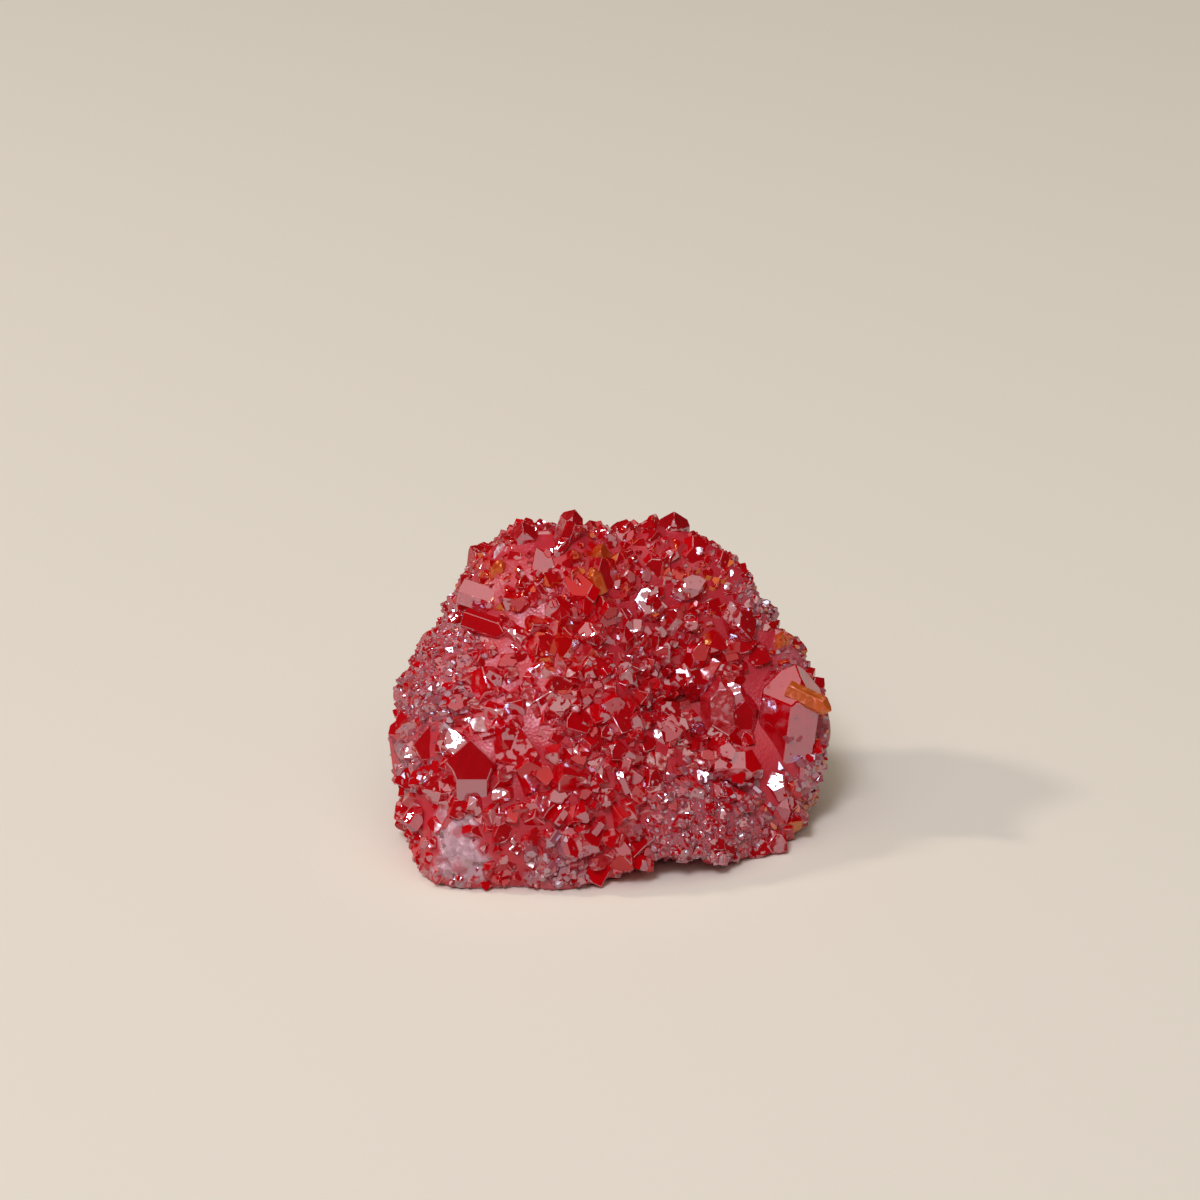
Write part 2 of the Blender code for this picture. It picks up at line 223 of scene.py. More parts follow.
# Smaller crystals, in the same columns as the large ones. Most turn a face to one of the lights, so
# that it glints. The rows in GILT have the thickest film, with facet values from 1, hardly gold, to
# 2, all gold.
TO_WINDOW = (-0.38, 0.85, 0.37)     # the axis that turns a face to the window
TO_KEY = (0.58, 0.81, 0.0)          # and to the key light
BRIGHT_CRYSTALS_MM = (
    (-25.5, -5.4, TO_WINDOW, 2.8, 3.6, 4.0, 60),
    (-31.3, -17.0, TO_KEY, 1.5, 1.8, 3.0, 22),
    (-7.7, -16.0, TO_KEY, 1.4, 2.6, 3.0, 22),
    (-1.3, -18.0, TO_KEY, 1.2, 1.2, 3.0, 22),
    (-7.7, 27.4, TO_KEY, 1.1, 1.6, 3.0, 22),
    (-25.0, 15.5, TO_KEY, 0.8, 0.8, 2.0, 22),
    (16.8, -9.4, TO_WINDOW, 1.8, 2.4, 3.0, 60),
    (33.0, 1.0, (0.88, -0.42, 0.20), 1.5, 4.8, 4.0, 10),        # the one across the great crystal
    (-1.8, 25.0, (0.30, 0.90, 0.30), 1.3, 2.8, 3.0, 0),
    (-2.6, 21.5, (-0.35, 0.90, 0.25), 1.1, 2.4, 3.0, 20),
    (-18.5, 23.0, (0.20, 0.90, 0.40), 1.2, 2.2, 3.0, 0),
    (28.5, 11.0, (0.35, 0.90, 0.25), 1.0, 2.2, 3.0, 0),
    (20.3, 3.0, TO_WINDOW, 1.6, 2.2, 3.0, 60),
    (27.6, -12.5, TO_WINDOW, 1.8, 3.0, 3.0, 60),
    (7.7, -4.5, TO_WINDOW, 1.2, 1.8, 3.0, 60),
    (1.5, -11.0, TO_WINDOW, 1.1, 1.8, 3.0, 60),
)
GILT = {7: (1.9, 2.0), 8: (1.3, 1.6), 9: (1.3, 1.6), 10: (1.3, 1.5), 11: (1.3, 1.6)}
BRIGHT_FACETS = (0.4, 0.75)
BRIGHT_WEAR_MM = 0.06


def everywhere(place):
    """Low crystals stand all over."""
    return 1.0


def in_clusters(place):
    """Young crystals come in clusters some millimetres across."""
    return 1.0 if noise.noise(place / (CLUSTER_MM * MM)) > CLUSTER_EDGE else BETWEEN_CLUSTERS


def in_fine_patches(place):
    """Druse fills the fine-grained patches, up to a soft edge."""
    return max(0.0, (1 + FINE_EDGE) * patch_share(FINE_PATCHES_MM, place) - FINE_EDGE)


# For each sort: the share of places it takes on the mound, on large, middling and small crystals, how
# its sizes spread, how far its tips stand proud and how close it grows, both against the half width,
# how far it leans in degrees, how much thinner it grows where the crystals are coarse or in the
# fine-grained patches, and the function that says where it comes.
LOW = {"room": (1.0, 0.0, 0.15, 0.0), "spread": (0.55, 1.5), "proud": (0.9, 1.6),
       "closeness": 0.56, "lean": 27.0, "thin_out": 0.0, "not_in_fine": 0.35, "share": everywhere}
YOUNG_ONES = {"room": (1.0, 0.04, 0.55, 0.35), "spread": (0.5, 1.7), "proud": (0.6, 1.6),
              "closeness": 0.6, "lean": 40.0, "thin_out": 0.9, "not_in_fine": 0.5, "share": in_clusters}
DRUSE_ONES = {"room": (1.0, 0.01, 0.6, 0.7), "spread": (0.6, 1.4), "proud": (0.6, 1.4),
              "closeness": 0.66, "lean": 40.0, "thin_out": 0.0, "not_in_fine": 0.0,
              "share": in_fine_patches}
CLUSTER_MM = 5.5
CLUSTER_EDGE = 0.02
BETWEEN_CLUSTERS = 0.25
UNIT_CRYSTALS = 40          # how many different crystals each sort is drawn from
UNIT_LENGTH = 3.6           # their length, in half widths
CELL_WIDTHS = 6             # the cells in which taken places are looked up, in usual half widths
LEAST_FOOT_MM = 0.6         # no small crystal is rooted closer to the ground than this

# How the sizes follow the place
THINS_FROM = 0.6            # the coarseness, against middling crystals, from which a sort thins out
GRAIN_POWER = 1.4           # how strongly small crystals follow the coarseness,
FINEST, COARSEST = 0.45, 1.6    # and how far at most
CREST_SHRINK = 0.45         # how much smaller they are along the crest
RIM_SIZE = 0.6              # their size where the mound turns out of sight, against where it is seen,
RIM_FADE = 2.2              # and how quickly they grow from there
TIGHT_SHARE = 0.6           # a crystal that reaches too far out shrinks step by step by this,
SMALLEST_TIGHT_MM = 0.5     # down to this half width,
BOX_SLACK_MM = 0.4          # and too far out is this much past the solid model
# Places round a tip, in half widths, that mustn't hide a large crystal
SIGHT_POINTS = ((0.0, 0.0), (-0.6, 0.0), (0.6, 0.0), (0.0, -0.6), (0.0, 0.6))

# Patches: (across, up) in the viewer's plane and the spread of the soft edge, all mm
PATCHES_REACH_BACK_MM = 9.0     # how far behind HEART they reach
SMOOTH_PATCHES_MM = ((-12.5, 15.0, 3.4), (4.0, 17.0, 2.6), (4.0, 8.0, 3.4), (-5.0, 20.0, 2.4),
                     (-13.0, -2.0, 2.6))
CREST_PATCHES_MM = ((-6.0, 28.0, 12.0), (18.0, 25.0, 9.0), (-22.0, 24.0, 9.0), (2.0, 24.0, 10.0))
FINE_PATCHES_MM = ((-34.0, -9.0, 5.0), (-30.0, 12.0, 8.0), (-27.0, 19.0, 6.0), (-31.0, 2.0, 6.0),
                   (14.0, -20.0, 9.0), (22.0, -19.0, 6.0), (25.0, 18.0, 5.0), (31.0, 9.0, 4.0),
                   (33.0, -15.0, 5.0), (-9.0, -27.0, 5.0), (35.5, -6.0, 7.0))
FINE_EDGE = 0.3             # the part of the soft edge without druse
GOLD_PATCHES_MM = ((-2.0, 24.0, 6.0), (34.0, 0.0, 5.0), (32.0, -18.0, 5.0), (-20.0, 20.0, 6.0),
                   (-9.0, 10.0, 4.0), (14.0, 20.0, 5.0), (30.0, 12.0, 5.0))

# The broken place on the left foot, chipped and bare
BROKEN_PATCHES_MM = ((-25.5, -20.0, 4.0), (-24.5, -25.0, 4.5))
BROKEN_BARENESS = 1.3       # crystals keep off a little more than the patch itself
RAGGED_MM = 2.5             # the size of the notches in its edge,
RAGGED_BY = 0.35            # and how deep they go
BROKEN_EDGE = 0.38          # the bare place starts at this share of its patches,
BROKEN_SHARPNESS = 20       # and this sharply
CHIP_MM = 1.3               # the size of the chips,
SPLINTER_MM = 1.0           # of the splinters on them,
CHIP_DEPTH_MM = 0.45        # and how deep both go

# The block that cuts the crystals off just above the ground
GROUND_MM = (120.0, 120.0, 30.0)
GROUND_GAP_MM = 0.15

# The finishes, with the size of each pattern
QUARTZ_IOR = 1.55
FILM_IOR = 2.4              # a dense metal oxide,
WORN_FILM_IOR = 2.2         # and over the frosted skin of the mound
DEEPER = 0.78               # the deepest crystals' colour, against the lightest ones'
GRIME_MM = 2.5              # the clouds of dullness on the faces
GROWTH_STEPS_MM = 1.3       # the low waves that growth leaves on a face
STAIN_MM = 3.0              # the veins where red stains the broken quartz
SPLINTERS_MM = 1.1          # the small flats of the broken quartz
FILM_CLOUD_MM = 12.0        # how the film's thickness drifts over the mound
SUGAR_MM = 0.5              # the sugary grains of the mound's skin,
SUGAR_DEPTH_MM = 0.15       # and how deep they go

# The film's thickness: thin on most faces, thicker on some, thickest where it looks gold
THIN_FILM_NM = 16.0
FILM_SPREAD_NM = 24.0
LARGE_FILM_SHARE = 0.55     # where on that spread all the large faces lie
FILM_DRIFT_NM = 8.0         # how much it drifts over the geode,
FILM_DRIFT_MM = 15.0        # and over what distance
GOLD_NM = 94.0
GOLD_SPREAD_NM = 10
GOLD_SHARE = 0.6            # how many small faces are gold in the middle of a gold patch
FACET_SHUFFLE = 7           # draws those faces from the facet values


# ---- The studio ----

FLOOR_SIZE = 6.0
FLOOR_DROP = 0.00005        # how far the floor lies under the geode
SENSOR_MM = 36.0
CLIP_START = 0.01
ROOM_COLOUR = "F4EEE6"
ROOM_STRENGTH = 0.015
KEY_HEIGHT = math.radians(38)
# Each light: where it shines from, how far off it hangs, how wide it is (m) and its sRGB colour
KEY_LIGHT = (Vector((-math.cos(KEY_HEIGHT), 0.03, math.sin(KEY_HEIGHT))), 1.6, 0.14, "FFF6EA")
WINDOW_LIGHT = (Vector((-0.22, -0.55, 0.80)), 2.5, 0.7, "EEEBFA")
FILL_LIGHT = (Vector((-0.08, -0.32, 0.94)), 7.0, 12.0, "F6EBDA")


# ---- What a user can change ----

class GeodeForm(bpy.types.PropertyGroup):
    """Counts and sizes of the finer crystals."""
    low_tries: IntProperty(
        name="Low crystals", description="Places tried for the low crystals that pave the mound",
        default=14000, min=0)
    low_half_width: FloatProperty(
        name="Low half width", description="Usual half width of the low crystals",
        default=0.0020, unit="LENGTH", min=0.0003)
    young_tries: IntProperty(
        name="Young crystals", description="Places tried for the young crystals on the older ones",
        default=5000, min=0)
    young_half_width: FloatProperty(
        name="Young half width", description="Usual half width of the young crystals",
        default=0.0010, unit="LENGTH", min=0.0003)
    druse_tries: IntProperty(
        name="Druse crystals", description="Places tried for the finest crystals",
        default=115000, min=0)
    druse_half_width: FloatProperty(
        name="Druse half width", description="Usual half width of the finest crystals",
        default=0.0006, unit="LENGTH", min=0.0001)
    edge_wear: FloatProperty(
        name="Edge wear", description="Chamfer on the larger crystals' edges, against their half width",
        default=0.04, subtype="FACTOR", min=0.0, max=0.1)


class GeodeFinish(bpy.types.PropertyGroup):
    """Colours of the quartz and of the film on it."""
    film_red: StringProperty(
        name="Film red", description="Light that comes through the film, sRGB hex", default="FC0416")
    film_gold: StringProperty(
        name="Film gold", description="Light that comes through the thickest film, sRGB hex",
        default="F27A26")
    druse_red: StringProperty(
        name="Druse red", description="Colour of the finest crystals, sRGB hex", default="BC5A66")
    milky_red: StringProperty(
        name="Milky quartz", description="Colour of the coated milky quartz, sRGB hex", default="C22C3A")
    stained_quartz: StringProperty(
        name="Stained quartz", description="Colour where red stains the broken quartz, sRGB hex",
        default="C0707C")
    bare_quartz: StringProperty(
        name="Broken quartz", description="Colour of the freshly broken quartz, sRGB hex",
        default="CFA3B0")


class GeodeStudio(bpy.types.PropertyGroup):
    """The camera, the lights and the floor."""
    camera_distance: FloatProperty(
        name="Camera distance", description="From the camera to the middle of the picture",
        default=0.5556, unit="LENGTH")
    camera_aim: FloatVectorProperty(
        name="Camera aim", description="The point in the middle of the picture",
        default=(-0.00183, 0.0, 0.0395), subtype="TRANSLATION")
    lens: FloatProperty(
        name="Lens", description="Focal length in mm on a 36 mm sensor", default=100.0)
    key_power: FloatProperty(
        name="Key light", description="Power of the small light at the left", default=5.6, unit="POWER")
    window_power: FloatProperty(
        name="Window light", description="Power of the window over the viewer's shoulder",
        default=27.0, unit="POWER")
    fill_power: FloatProperty(
        name="Fill light", description="Power of the broad light overhead", default=370.0, unit="POWER")
    floor_colour: StringProperty(
        name="Floor", description="Colour of the paper floor, sRGB hex", default="F1EDE1")


# ---- The mound ----

def round_the_clock(values, clock):
    """The value at a clock angle, eased between values given at even steps from the right."""
    count = len(values)
    place = clock / math.tau * count % count
    here = int(place)
    share = place - here
    before, start, end, after = (values[(here + k) % count] for k in (-1, 0, 1, 2))
    bend = (2 * before - 5 * start + 4 * end - after) * share ** 2
    twist = (3 * start - before - 3 * end + after) * share ** 3
    return 0.5 * (2 * start + (end - before) * share + bend + twist)


def bump_sum(forms, across, up):
    """The height of a list of rounded bumps at a place, all in millimetres."""
    height = 0.0
    for form_across, form_up, reach, spread in forms:
        away = (across - form_across) ** 2 + (up - form_up) ** 2
        height += reach * math.exp(-away / spread ** 2)
    return height


def mound_point(direction):
    """Where the ray from HEART along direction leaves the mound, which the ground cuts flat."""
    across, up, facing = (direction.dot(axis) for axis in VIEW_AXES)
    clock = math.atan2(up, across)
    rim = round_the_clock(OUTLINE_MM, clock) * MM
    reach, rim_reaches = FRONT_REACH_MM if facing > 0 else BACK_REACH_MM
    rim_reach = round_the_clock(rim_reaches, clock)
    depth = (reach + (rim_reach - reach) * math.hypot(across, up)) * MM
    side = math.hypot(across, up) / rim
    radius = (side ** SQUARENESS + (abs(facing) / depth) ** SQUARENESS) ** (-1 / SQUARENESS)
    forms = FRONT_RELIEF_MM if facing > 0 else BACK_RELIEF_MM
    swell = bump_sum(forms, across * radius / MM, up * radius / MM)
    radius += swell * MM * min(1.0, abs(facing) * RELIEF_FADE)
    radius += noise.fractal(direction * radius / (ROUGH_SCALE_MM * MM), 1.0, 2.0, 3) * ROUGHNESS_MM * MM
    if direction.z < 0:
        reach = min(radius, HEART.z / -direction.z)
        for _ in range(UNDERCUT_PASSES):
            under = HEART + direction * reach
            ground = bump_sum(UNDERCUTS_MM, under.x / MM, under.y / MM) * MM
            reach = min(radius, max(HEART.z - ground, 0) / -direction.z)
        radius = reach
    point = HEART + direction * radius
    if point.z < LIFT_MM * MM:
        point.z = 0.0
    return point


def make_mound(detail):
    """The mound, from a sphere split detail times."""
    bm = bmesh.new()
    bmesh.ops.create_icosphere(bm, subdivisions=detail, radius=1.0)
    for vert in bm.verts:
        vert.co = mound_point(vert.co.normalized())
    return bm


# ---- The crystals ----

def slice_off(bm, point, normal):
    """Cut away what lies beyond a plane and close the cut."""
    parts = bm.verts[:] + bm.edges[:] + bm.faces[:]
    cut = bmesh.ops.bisect_plane(bm, geom=parts, dist=1e-9, plane_co=point, plane_no=normal,
                                 clear_outer=True)
    rim = [part for part in cut["geom_cut"] if isinstance(part, bmesh.types.BMEdge)]
    if rim:
        bmesh.ops.holes_fill(bm, edges=rim, sides=0)


def make_crystal(rng, tip, axis, turn, half_width, length):
    """A quartz prism with its six-sided point at tip, turned from having a face towards the viewer."""
    across = (VIEW_OUT - axis * VIEW_OUT.dot(axis)).normalized()
    other = axis.cross(across)
    bm = bmesh.new()
    bmesh.ops.create_cube(bm, size=1.0)
    for vert in bm.verts:
        side, edge, rise = vert.co
        aside = (across * side + other * edge) * half_width * BLANK_WIDTHS
        vert.co = tip + aside + axis * (rise - 0.5) * length
    for k in range(6):
        angle = math.radians(60 * k + turn)
        out = across * math.cos(angle) + other * math.sin(angle)
        slice_off(bm, tip + out * half_width * rng.uniform(*UNEVEN_SIDES), out)
        slope = axis * math.cos(PYRAMID_SLOPE) + out * math.sin(PYRAMID_SLOPE)
        drop = rng.uniform(*(MAIN_DROP if k % 2 == 0 else LESSER_DROP))
        slice_off(bm, tip - slope * drop * half_width, slope)
    return bm


def view_hit(tree, across, up):
    """Where the line of sight through a place in the viewer's plane meets the mound, or its rim."""
    place = HEART + (VIEW_RIGHT * across + VIEW_UP * up) * MM
    start = place + VIEW_OUT * VIEWER_AWAY_MM * MM
    return tree.ray_cast(start, -VIEW_OUT)[0] or tree.find_nearest(place)[0]


def grain_at(across, up, facing):
    """The half width of the crystals at a place, in millimetres."""
    if facing < BACK_STARTS:
        return BACK_GRAIN_MM
    total, weight = MIDDLING_MM * MIDDLING_WEIGHT, MIDDLING_WEIGHT
    for patch_across, patch_up, spread, grain in FRONT_GRAIN_MM:
        away = (across - patch_across) ** 2 + (up - patch_up) ** 2
        share = math.exp(-away / spread ** 2)
        total += grain * share
        weight += share
    return total / weight


def leaned(rng, normal, most):
    """The normal, leaned a random way by up to a number of degrees."""
    hinge = normal.orthogonal().normalized()
    hinge.rotate(Quaternion(normal, rng.uniform(0, math.tau)))
    axis = normal.copy()
    axis.rotate(Quaternion(hinge, math.radians(most) * math.sqrt(rng.random())))
    return axis


def random_direction(rng):
    """A direction, with every one as likely."""
    return Vector((rng.gauss(0, 1), rng.gauss(0, 1), rng.gauss(0, 1))).normalized()


def placed_crystals(rows, tree, seed):
    """The crystals of a table, and where their feet are."""
    rng = random.Random(seed)
    crystals, places = [], []
    for across, up, lean, half_width, proud, root, turn in rows:
        right, high, out = lean
        axis = (VIEW_RIGHT * right + VIEW_UP * high + VIEW_OUT * out).normalized()
        foot = view_hit(tree, across, up)
        tip = foot + axis * proud * MM
        crystals.append(make_crystal(rng, tip, axis, turn, half_width * MM, (proud + root) * MM))
        places.append((foot, half_width * MM))
    return crystals, places


def middling_crystals(tree, places):
    """Crystals scattered over the rest of the mound, closer together where they are small."""
    rng = random.Random(SEED + 1)
    crystals = []
    for _ in range(TRIES):
        foot, normal = tree.ray_cast(HEART, random_direction(rng))[:2]
        if foot.z < LOWEST_MM * MM:
            continue
        off_heart = foot - HEART
        across, up = off_heart.dot(VIEW_RIGHT) / MM, off_heart.dot(VIEW_UP) / MM
        half_width = grain_at(across, up, normal.dot(VIEW_OUT)) * rng.uniform(*SIZE_SPREAD) * MM
        if half_width < SMALLEST_MM * MM:
            continue
        if any((foot - place).length < (half_width + other) * CLOSENESS for place, other in places):
            continue
        axis = leaned(rng, normal, MOST_LEAN)
        proud = half_width * rng.uniform(*PROUD_SHARE)
        tip = foot + axis * proud
        length = proud + ROOT_MM * MM
        crystals.append(make_crystal(rng, tip, axis, rng.uniform(0, 360), half_width, length))
        places.append((foot, half_width))
    return crystals


def chamfer(bm, width, steps=1):
    """Take the sharpness off a crystal's edges, as handling and growth do."""
    bmesh.ops.recalc_face_normals(bm, faces=bm.faces)
    bmesh.ops.bevel(bm, geom=bm.edges[:], offset=width, segments=steps, profile=0.5, affect="EDGES",
                    clamp_overlap=True)


def mark_faces(bm, rng, kind, least_facet=0.0, most_facet=1.0):
    """Write on each face its sort of crystal, a value for its crystal and one of its own."""
    kind_layer = bm.faces.layers.float.new("kind")
    grain_layer = bm.faces.layers.float.new("grain")
    facet_layer = bm.faces.layers.float.new("facet")
    grain = rng.random()
    for face in bm.faces:
        face[kind_layer] = kind
        face[grain_layer] = grain
        face[facet_layer] = rng.uniform(least_facet, most_facet)


def mesh_from(bm, name):
    """A mesh from an edited one, which is freed."""
    mesh = bpy.data.meshes.new(name)
    bm.to_mesh(mesh)
    bm.free()
    return mesh


def unit_crystals(rng, kind, wear):
    """Meshes of crystals one unit in half width, with the tip at the origin and the axis along +Z."""
    meshes = []
    for number in range(UNIT_CRYSTALS):
        bm = make_crystal(rng, Vector((0, 0, 0)), Vector((0, 0, 1)), 0, 1.0, UNIT_LENGTH)
        if wear:
            chamfer(bm, wear)
        bmesh.ops.recalc_face_normals(bm, faces=bm.faces)
        mark_faces(bm, rng, kind)
        meshes.append(mesh_from(bm, f"unit_crystal_{number}"))
    return meshes


class Spacing:
    """Keeps the places that are taken, and says whether a new one has room."""

    def __init__(self, cell):
        self.cell = cell
        self.cells = {}

    def key(self, point):
        """The cell that a point is in."""
        return tuple(int(math.floor(value / self.cell)) for value in point)

    def take(self, point, half_width, closeness):
        """Take a place if it has room, and say whether it had."""
        x, y, z = self.key(point)
        for near in ((x + i, y + j, z + k) for i in (-1, 0, 1) for j in (-1, 0, 1) for k in (-1, 0, 1)):
            for place, other in self.cells.get(near, ()):
                if (point - place).length < (half_width + other) * closeness:
                    return False
        self.cells.setdefault((x, y, z), []).append((point, half_width))
        return True


def in_view(point):
    """A point as the viewer sees it: millimetres across, up and nearer than HEART."""
    off_heart = (point - HEART) / MM
    return tuple(off_heart.dot(axis) for axis in VIEW_AXES)


def patch_share(patches, point):
    """How far a point is inside some soft-edged patches, each (across, up, spread), from 0 to 1."""
    across, up, facing = in_view(point)
    if facing < -PATCHES_REACH_BACK_MM:
        return 0.0
    share = 0.0
    for patch_across, patch_up, spread in patches:
        away = (across - patch_across) ** 2 + (up - patch_up) ** 2
        share = max(share, math.exp(-away / spread ** 2))
    return share


def broken_share(point):
    """How far a point is inside the broken place, whose edge is ragged, from 0 to 1."""
    ragged = patch_share(BROKEN_PATCHES_MM, point) + RAGGED_BY * noise.noise(point / (RAGGED_MM * MM))
    return min(1.0, max(0.0, (ragged - BROKEN_EDGE) * BROKEN_SHARPNESS))


def outer_hit(trees, direction):
    """The outermost hit of a ray towards HEART on any of the trees: place, normal, face and tree."""
    start = HEART + direction * VIEWER_AWAY_MM * MM
    best = None
    for number, tree in enumerate(trees):
        place, normal, face, away = tree.ray_cast(start, -direction)
        if place is not None and (best is None or away < best[0]):
            best = (away, place, normal, face, number)
    return best[1:]


def outside_box(point):
    """Whether a point is further out than the solid model reaches, give or take BOX_SLACK_MM."""
    low, high = CAD_BOX
    slack = BOX_SLACK_MM * MM
    return any(point[k] < low[k] - slack or point[k] > high[k] + slack for k in range(3))


def in_the_way(trees, kinds, tip, size):
    """Whether a small crystal would stand in front of one of the large ones."""
    for aside, higher in SIGHT_POINTS:
        start = tip + (VIEW_RIGHT * aside + VIEW_UP * higher) * size
        face, away = trees[1].ray_cast(start, -VIEW_OUT)[2:]
        under = trees[0].ray_cast(start, -VIEW_OUT)[3]
        if face is not None and kinds[face] == LARGE and (under is None or away < under):
            return True
    return False


def scattered_matrices(rng, trees, kinds, scatter, tries, half_width):
    """Where small crystals stand on what is already there, as matrices for unit crystals."""
    spacing = Spacing(half_width * CELL_WIDTHS)
    matrices = []
    for _ in range(tries):
        direction = random_direction(rng)
        foot, normal, face, tree = outer_hit(trees, direction)
        if foot.z < LEAST_FOOT_MM * MM:
            continue
        if rng.random() > scatter["room"][0 if tree == 0 else 1 + int(kinds[face])]:
            continue
        bare = max(patch_share(SMOOTH_PATCHES_MM, foot),
                   patch_share(BROKEN_PATCHES_MM, foot) * BROKEN_BARENESS)
        if rng.random() < bare or rng.random() > scatter["share"](foot):
            continue
        across, up, _ = in_view(foot)
        coarse = grain_at(across, up, direction.dot(VIEW_OUT)) / MIDDLING_MM
        if rng.random() < (coarse - THINS_FROM) * scatter["thin_out"]:
            continue
        if rng.random() < patch_share(FINE_PATCHES_MM, foot) * scatter["not_in_fine"]:
            continue
        size = half_width * rng.uniform(*scatter["spread"])
        size *= min(COARSEST, max(FINEST, coarse ** GRAIN_POWER))
        size *= 1 - CREST_SHRINK * patch_share(CREST_PATCHES_MM, foot)
        if direction.z > 0:
            size *= RIM_SIZE + (1 - RIM_SIZE) * min(1.0, RIM_FADE * abs(direction.dot(VIEW_OUT)))
        axis = leaned(rng, (normal + direction).normalized(), scatter["lean"])
        proud = rng.uniform(*scatter["proud"])
        while outside_box(foot + axis * size * proud) and size > SMALLEST_TIGHT_MM * MM:
            size *= TIGHT_SHARE
        tip = foot + axis * size * proud
        if outside_box(tip):
            continue
        on_large = tree == 1 and kinds[face] == LARGE
        if not on_large and in_the_way(trees, kinds, tip, size):
            continue
        if not spacing.take(foot, size, scatter["closeness"]):
            continue
        turn = Matrix.Rotation(rng.uniform(0, math.tau), 4, "Z")
        stand = axis.to_track_quat("Z", "Y").to_matrix().to_4x4()
        matrices.append(Matrix.Translation(tip) @ stand @ turn @ Matrix.Scale(size, 4))
    return matrices


def lay_film(mesh):
    """Write on each face how thick the film on it is, in nanometres."""
    facets, kinds = face_values(mesh, "facet"), face_values(mesh, "kind")
    film = mesh.attributes.new("film", "FLOAT", "FACE")
    for face, facet, kind in zip(mesh.polygons, facets, kinds):
        drift = noise.noise(face.center / (FILM_DRIFT_MM * MM))
        spread = FILM_SPREAD_NM * (LARGE_FILM_SHARE if kind == LARGE else facet)
        thick = THIN_FILM_NM + FILM_DRIFT_NM * drift + spread
        gold = (facet * FACET_SHUFFLE) % 1 < patch_share(GOLD_PATCHES_MM, face.center) * GOLD_SHARE
        if facet > 1 or gold and kind > MIDDLING:
            thick = GOLD_NM + GOLD_SPREAD_NM * (facet % 1)
        film.data[face.index].value = thick


IN_PLACE = Matrix.Identity(4)


def grow_together(name, solids, operation="UNION"):
    """One closed mesh of crossing solids, each a mesh and a matrix, or the first without the rest."""
    group = bpy.data.collections.new("growing")
    bpy.context.scene.collection.children.link(group)
    first = None
    for mesh, matrix in solids:
        obj = bpy.data.objects.new("solid", mesh)
        obj.matrix_world = matrix
        if first is None:
            first = obj
            bpy.context.scene.collection.objects.link(obj)
        else:
            group.objects.link(obj)
    union = first.modifiers.new("grown together", "BOOLEAN")
    union.operation = operation
    union.operand_type = "COLLECTION"
    union.collection = group
    union.solver = "MANIFOLD"
    depsgraph = bpy.context.evaluated_depsgraph_get()
    mesh = bpy.data.meshes.new_from_object(first.evaluated_get(depsgraph), depsgraph=depsgraph)
    mesh.transform(first.matrix_world)
    mesh.name = name
    grew = len(mesh.polygons) > len(first.data.polygons)
    if not mesh.polygons or operation == "UNION" and not grew:
        raise RuntimeError(f"{name}: the crystals didn't grow together")
    for obj in list(group.objects) + [first]:
        bpy.data.objects.remove(obj)
    bpy.data.collections.remove(group)
    return mesh


def broken_flat(name, mesh):
    """A mesh without what would reach under the ground."""
    bm = bmesh.new()
    bmesh.ops.create_cube(bm, size=1.0)
    bmesh.ops.translate(bm, verts=bm.verts, vec=(0, 0, -0.5))
    bmesh.ops.scale(bm, verts=bm.verts, vec=Vector(GROUND_MM) * MM)
    bmesh.ops.translate(bm, verts=bm.verts, vec=(0, 0, GROUND_GAP_MM * MM))
    mark_faces(bm, random.Random(SEED), LARGE)
    ground = mesh_from(bm, "ground")
    return grow_together(name, [(mesh, IN_PLACE), (ground, IN_PLACE)], "DIFFERENCE")


def face_values(mesh, name):
    """The values that a mesh's faces have in an attribute."""
    values = np.zeros(len(mesh.polygons), np.float32)
    mesh.attributes[name].data.foreach_get("value", values)
    return values


def tree_of(*meshes):
    """One search tree over some meshes."""
    places, faces = [], []
    for mesh in meshes:
        faces += [[len(places) + corner for corner in face.vertices] for face in mesh.polygons]
        places += [vert.co for vert in mesh.vertices]
    return BVHTree.FromPolygons(places, faces)


def older_crystals(rng, tree, edge_wear):
    """The large and middling crystals of the solid model, with worn edges, as one mesh."""
    large, places = placed_crystals(LARGE_CRYSTALS_MM, tree, SEED)
    crystals = large + middling_crystals(tree, places)
    solids = []
    for number, (bm, (_, half_width)) in enumerate(zip(crystals, places)):
        wear = WORN_ROUND.get(number, edge_wear)
        chamfer(bm, half_width * wear, ROUND_STEPS if wear > ROUNDED_FROM else 1)
        kind = LARGE if number < len(large) and number not in OVERGROWN else MIDDLING
        least_facet = FROSTED_FACET if number in FROSTED else 0.0
        most_facet = CLEAN_FACET if number in CLEAN else 1.0
        mark_faces(bm, rng, kind, least_facet, most_facet)
        solids.append((mesh_from(bm, f"crystal_{number:03d}"), IN_PLACE))
    return grow_together("grown", solids)


def with_bright_crystals(rng, mound, grown):
    """The grown crystals with the bright and the gilt ones on them."""
    solids = [(grown, IN_PLACE)]
    bright, _ = placed_crystals(BRIGHT_CRYSTALS_MM, tree_of(mound, grown), SEED + 4)
    for number, bm in enumerate(bright):
        chamfer(bm, BRIGHT_WEAR_MM * MM)
        mark_faces(bm, rng, LARGE, *GILT.get(number, BRIGHT_FACETS))
        solids.append((mesh_from(bm, f"bright_crystal_{number:02d}"), IN_PLACE))
    return grow_together("grown", solids)


def add_object(name, data):
    """An object with this data, in the scene."""
    obj = bpy.data.objects.new(name, data)
    bpy.context.scene.collection.objects.link(obj)
    return obj


